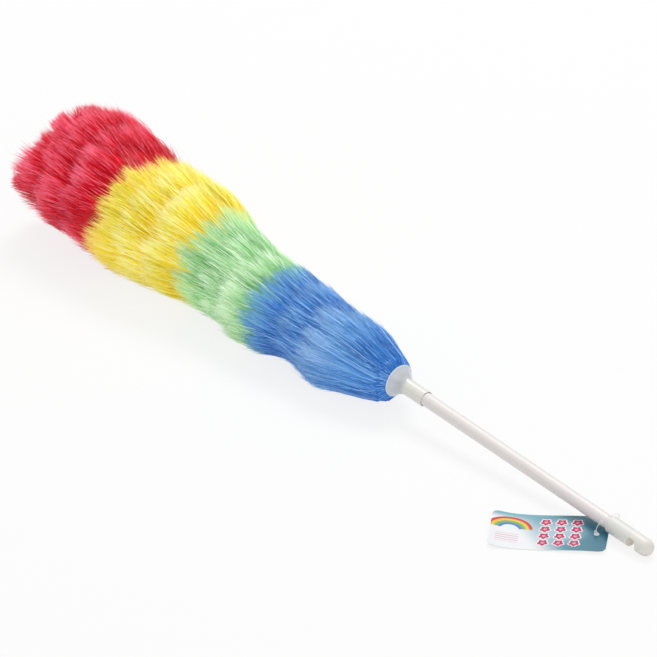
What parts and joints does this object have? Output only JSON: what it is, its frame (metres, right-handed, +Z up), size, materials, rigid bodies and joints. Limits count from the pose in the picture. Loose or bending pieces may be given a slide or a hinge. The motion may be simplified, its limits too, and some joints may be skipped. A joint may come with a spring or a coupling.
{
  "type": "static duster",
  "caption": "Static duster: a fibre head in four colour bands on a hollow handle, with a bell collar, a hooked end cap to hang it by and a swinging card tag on a loop.",
  "frame": {"origin": "centre of the bounding box's base, on the plane that the duster lies on", "axes": "+X along the duster towards its hook end, +Z up as it lies, +Y away from the tag and from the side towards which the hook's mouth, that faces mostly down, is turned"},
  "size_m": [0.627, 0.1221, 0.1009],
  "materials": {
    "white_plastic": "smooth, slightly glossy",
    "milky_plastic": "moulded, satin, faintly see-through",
    "rod_plastic": "plain extruded",
    "tie_steel": "bright wire",
    "blue_fibre": "fine split fibres with a sheen",
    "green_fibre": "fine split fibres with a sheen",
    "yellow_fibre": "fine split fibres with a sheen",
    "red_fibre": "fine split fibres with a sheen",
    "loop_plastic": "clear, smooth",
    "tag_print": "printed and coated card"
  },
  "bodies": {
    "duster": {"handle_tube": "white_plastic", "hook_cap": "milky_plastic", "bell_collar": "milky_plastic", "core_rod": "rod_plastic", "tip_button": "milky_plastic", "blue_tier_1": "blue_fibre", "blue_tier_2": "blue_fibre", "blue_tier_3": "blue_fibre", "green_tier_1": "green_fibre", "green_tier_2": "green_fibre", "green_tier_3": "green_fibre", "yellow_tier_1": "yellow_fibre", "yellow_tier_2": "yellow_fibre", "yellow_tier_3": "yellow_fibre", "red_tier_1": "red_fibre", "red_tier_2": "red_fibre", "red_tier_3": "red_fibre", "blue_tie_1": "tie_steel", "blue_tie_2": "tie_steel", "blue_tie_3": "tie_steel", "green_tie_1": "tie_steel", "green_tie_2": "tie_steel", "green_tie_3": "tie_steel", "yellow_tie_1": "tie_steel", "yellow_tie_2": "tie_steel", "yellow_tie_3": "tie_steel", "red_tie_1": "tie_steel", "red_tie_2": "tie_steel", "red_tie_3": "tie_steel"},
    "loop": {"tag_loop": "loop_plastic"},
    "card": {"tag_card": "tag_print"}
  },
  "joints": [
    {"name": "loop_slide", "type": "slide", "parent": "duster", "child": "loop", "axis": [0.9969, 0, -0.0787], "range_m": [-0.165, 0]},
    {"name": "tag_swing", "type": "hinge", "parent": "loop", "child": "card", "pos_m": [0.26816, 0.00349, 0.002], "axis": [0, 0, 1], "range_deg": [-5, 25]}
  ]
}
